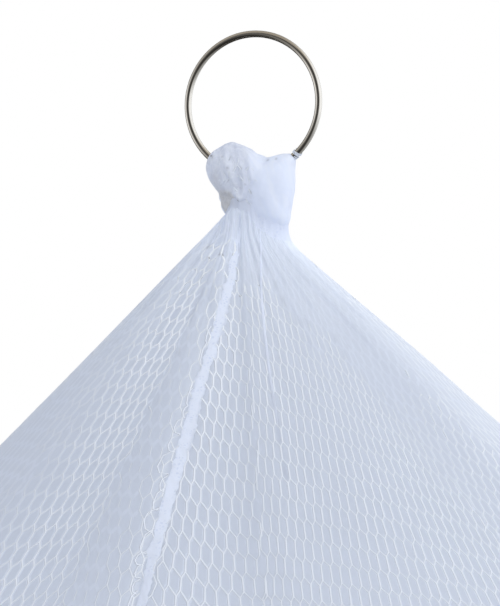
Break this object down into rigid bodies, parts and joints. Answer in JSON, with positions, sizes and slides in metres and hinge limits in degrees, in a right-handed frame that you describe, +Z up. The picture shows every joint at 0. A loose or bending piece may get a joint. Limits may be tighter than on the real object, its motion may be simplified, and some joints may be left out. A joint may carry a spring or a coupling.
{
  "type": "mosquito net canopy with its hanging ring and spreader hoop",
  "caption": "Hanging net canopy: a wire ring, a knotted conical net roof and a long net skirt that falls in folds from a hoop.",
  "frame": {"origin": "the inside of the ring's top, where a ceiling hook carries it", "axes": "+Z up along the hanging line; -Y is the front, where the roof's seam shows; +X is to the right seen from the front"},
  "size_m": [0.9921, 1.0072, 2.3584],
  "materials": {
    "ring_steel": "bright plated wire",
    "net_cloth": "white hexagonal knitted net, sheer, slightly blue",
    "hoop_rod": "plain white coated rod"
  },
  "bodies": {
    "root": {"hanging_ring": "ring_steel", "net_knot": "net_cloth", "net_roof": "net_cloth", "spreader_hoop": "hoop_rod", "net_skirt": "net_cloth"}
  },
  "joints": []
}
